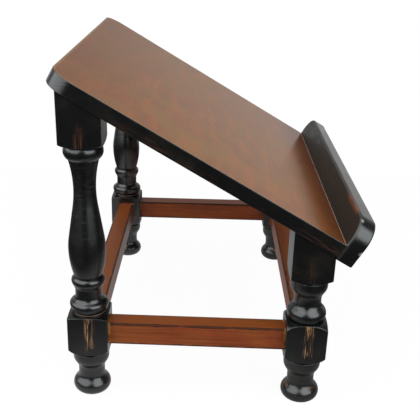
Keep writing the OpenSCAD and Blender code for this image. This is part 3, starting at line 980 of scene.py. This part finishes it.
class STAND_OT_stretchers(bpy.types.Operator):
    """Model the four stretchers with their tenons"""

    bl_idname = "stand.stretchers"
    bl_label = "Stretchers"

    def execute(self, context):
        joints = context.scene.stand_joints
        finish = context.scene.stand_finish
        radius = context.scene.stand_edges.stretcher_arris
        tones = (finish.rail_stain, finish.rail_thin)
        names = ("brown_stain_on_cross_stretchers", "brown_stain_on_side_stretchers")
        stains = [
            stained_wood(name, tones, axis, stretcher_marks, smooth=0.3, figure=0.6)
            for axis, name in enumerate(names)
        ]
        for along, name in ((0, "front"), (0, "rear"), (1, "left"), (1, "right")):
            low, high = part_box(name + "_stretcher")
            low[along] += TENON_L
            high[along] -= TENON_L
            piece = start_block(name + "_stretcher_rail", low, high)
            across = 1 - along
            ends = (edge_at(along, low[along]), edge_at(along, high[along]))
            round_edges(piece, radius, 3, lambda edge: not any(test(edge) for test in ends))
            for end, out in ((low, -1), (high, 1)):
                select(piece, "FACE", lambda face: face.normal[along] * out > FACING)
                bpy.ops.mesh.extrude_region()
                middle = (low + high) / 2
                middle[along] = end[along]
                size = [1, 1, joints.tenon_height / STRETCHER_H]
                size[across] = joints.tenon_thickness / STRETCHER_T
                bpy.ops.transform.resize(value=size, center_override=middle)
                step = [0, 0, 0]
                step[along] = out * TENON_L
                bpy.ops.mesh.extrude_region_move(TRANSFORM_OT_translate={"value": step})
            bpy.ops.object.mode_set(mode="OBJECT")
            piece.data.materials.append(stains[along])
            settle(piece, "brown_stain", name + "_stretcher")
        return {"FINISHED"}


class STAND_OT_dowels(bpy.types.Operator):
    """Give the hidden dowels their bare beech"""

    bl_idname = "stand.dowels"
    bl_label = "Dowels"

    def execute(self, context):
        beech = plain_beech("plain_beech")
        for node in ("leg_dowels", "ledge_dowels"):
            part = frame["nodes"][node]
            part.data.materials.clear()
            part.data.materials.append(beech)
        return {"FINISHED"}


class STAND_OT_stage(bpy.types.Operator):
    """Set out the floor, the light and the camera"""

    bl_idname = "stand.stage"
    bl_label = "Stage"

    def execute(self, context):
        stage = context.scene.stand_stage
        self.add_floor(stage)
        self.add_world(context.scene)
        for name, azimuth, elevation, wide, tall, watts in (
            ("left_softbox", -60, 36, 2.8, 2.0, 42),
            ("right_softbox", 40, 30, 1.6, 1.7, 26),
            ("top_softbox", 0, 85, 2.0, 2.0, 16),
        ):
            self.add_softbox(name, math.radians(azimuth), math.radians(elevation), wide, tall, watts)
        bpy.ops.object.camera_add(location=stage.camera_place, rotation=stage.camera_turn)
        camera = context.object
        camera.data.lens = stage.camera_lens
        camera.data.shift_x, camera.data.shift_y = stage.camera_shift
        context.scene.camera = camera
        context.scene.view_settings.view_transform = "Standard"
        return {"FINISHED"}

    def add_floor(self, stage):
        """A pale floor, white to the eye and grey in the gloss near the stand, with the stand's shadow."""
        bpy.ops.object.select_all(action="DESELECT")
        middle = ((stage.floor_rear - stage.floor_front) / 2, 0, 0)
        bpy.ops.mesh.primitive_plane_add(size=1, location=middle)
        floor = bpy.context.object
        floor.name = "floor"
        floor.scale = (stage.floor_front + stage.floor_rear, stage.floor_width, 1)
        bpy.ops.object.transform_apply()
        material, tree, place = new_material("pale_floor")
        path = add(tree, "LightPath").outputs
        seen = 0.0
        for ray in ("Is Camera Ray", "Is Glossy Ray", "Is Transmission Ray"):
            seen = add(tree, "Math", [seen, path[ray]], operation="MAXIMUM")
        share = add(tree, "Math", [seen, 0.96], operation="MULTIPLY")
        across = add(tree, "SeparateXYZ", [place]).outputs["Y"]
        away = add(tree, "VectorMath", [place], operation="LENGTH").outputs["Value"]
        # The numbers of a range are where it starts and ends, and its values there.
        sheen = mask(tree, add(tree, "MapRange", [across, -0.15, 0.2, 0.25, 0.65]), (away, 0.47, 0.26))
        glow = add(tree, "MapRange", {"Value": path["Is Glossy Ray"], "To Min": 1.0, "To Max": sheen})
        matt = add(tree, "BsdfDiffuse", {"Color": stage.floor})
        white = add(tree, "Emission", {"Strength": glow})
        both = add(tree, "MixShader", [share, matt, white])
        add(tree, "OutputMaterial", {"Surface": both})
        floor.data.materials.append(material)

    def add_world(self, scene):
        """White all round to the eye, and a studio with a dim front in the gloss."""
        world = bpy.data.worlds.new("studio")
        world.use_nodes = True
        tree = world.node_tree
        tree.nodes.clear()
        eye = add(tree, "LightPath").outputs["Is Camera Ray"]
        way = add(tree, "TexCoord").outputs["Generated"]
        x, y, z = add(tree, "SeparateXYZ", [way]).outputs
        # Dim beside and behind the camera, and bright behind the stand down to just below the horizon.
        front = add(tree, "MapRange", [*size_of(tree, y), 0.1, 0.6, 0.03, 0.09])
        rear = add(tree, "MapRange", [z, -0.3, -0.05, 0.12, 0.7])
        above = add(tree, "MapRange", [z, 0.06, 0.19, 1.0, 0.6])
        rear = add(tree, "Math", [rear, above], operation="MULTIPLY")
        room = add(tree, "MapRange", [x, 0.2, 0.9, front, rear], interpolation_type="SMOOTHSTEP")
        strength = add(tree, "Math", [room, eye], operation="MAXIMUM")
        light = add(tree, "Background", {"Color": (1, 1, 1, 1), "Strength": strength})
        add(tree, "OutputWorld", {"Surface": light})
        scene.world = world

    def add_softbox(self, name, azimuth, elevation, wide, tall, watts):
        """A soft light that faces the middle of the stand. Its azimuth counts from the camera's side."""
        middle = (CAD_LOW + CAD_HIGH) / 2
        level = math.cos(elevation)
        way = Vector((-level * math.cos(azimuth), -level * math.sin(azimuth), math.sin(elevation)))
        turn_to = (-way).to_track_quat("-Z", "Y").to_euler()
        bpy.ops.object.light_add(type="AREA", location=middle + LAMP_DISTANCE * way, rotation=turn_to)
        lamp = bpy.context.object
        lamp.name = name
        lamp.data.shape = "RECTANGLE"
        lamp.data.size = wide
        lamp.data.size_y = tall
        lamp.data.energy = watts
        lamp.data.color = LAMP_TINT


OPERATORS = (
    STAND_OT_board,
    STAND_OT_ledge,
    STAND_OT_legs,
    STAND_OT_stretchers,
    STAND_OT_dowels,
    STAND_OT_stage,
)
SETTINGS = {
    "stand_edges": StandEdges,
    "stand_turning": StandTurning,
    "stand_joints": StandJoints,
    "stand_finish": StandFinish,
    "stand_stage": StandStage,
}


class STAND_PT_panel(bpy.types.Panel):
    """Lists the pieces of the stand"""

    bl_label = "Bible Stand"
    bl_idname = "STAND_PT_panel"
    bl_space_type = "VIEW_3D"
    bl_region_type = "UI"
    bl_category = "Bible Stand"

    def draw(self, context):
        for operator in OPERATORS:
            self.layout.operator(operator.bl_idname)
        for name, group in SETTINGS.items():
            box = self.layout.box()
            for key in group.__annotations__:
                box.prop(getattr(context.scene, name), key)


def register():
    for group in SETTINGS.values():
        bpy.utils.register_class(group)
    for kind in (*OPERATORS, STAND_PT_panel):
        bpy.utils.register_class(kind)
    for name, group in SETTINGS.items():
        setattr(bpy.types.Scene, name, bpy.props.PointerProperty(type=group))


def unregister():
    for name in SETTINGS:
        delattr(bpy.types.Scene, name)
    for kind in (STAND_PT_panel, *reversed(OPERATORS), *SETTINGS.values()):
        bpy.utils.unregister_class(kind)


def main():
    register()
    bpy.ops.stand.board()
    bpy.ops.stand.ledge()
    bpy.ops.stand.legs()
    bpy.ops.stand.stretchers()
    bpy.ops.stand.dowels()
    bpy.ops.stand.stage()


if __name__ == "__main__":
    main()
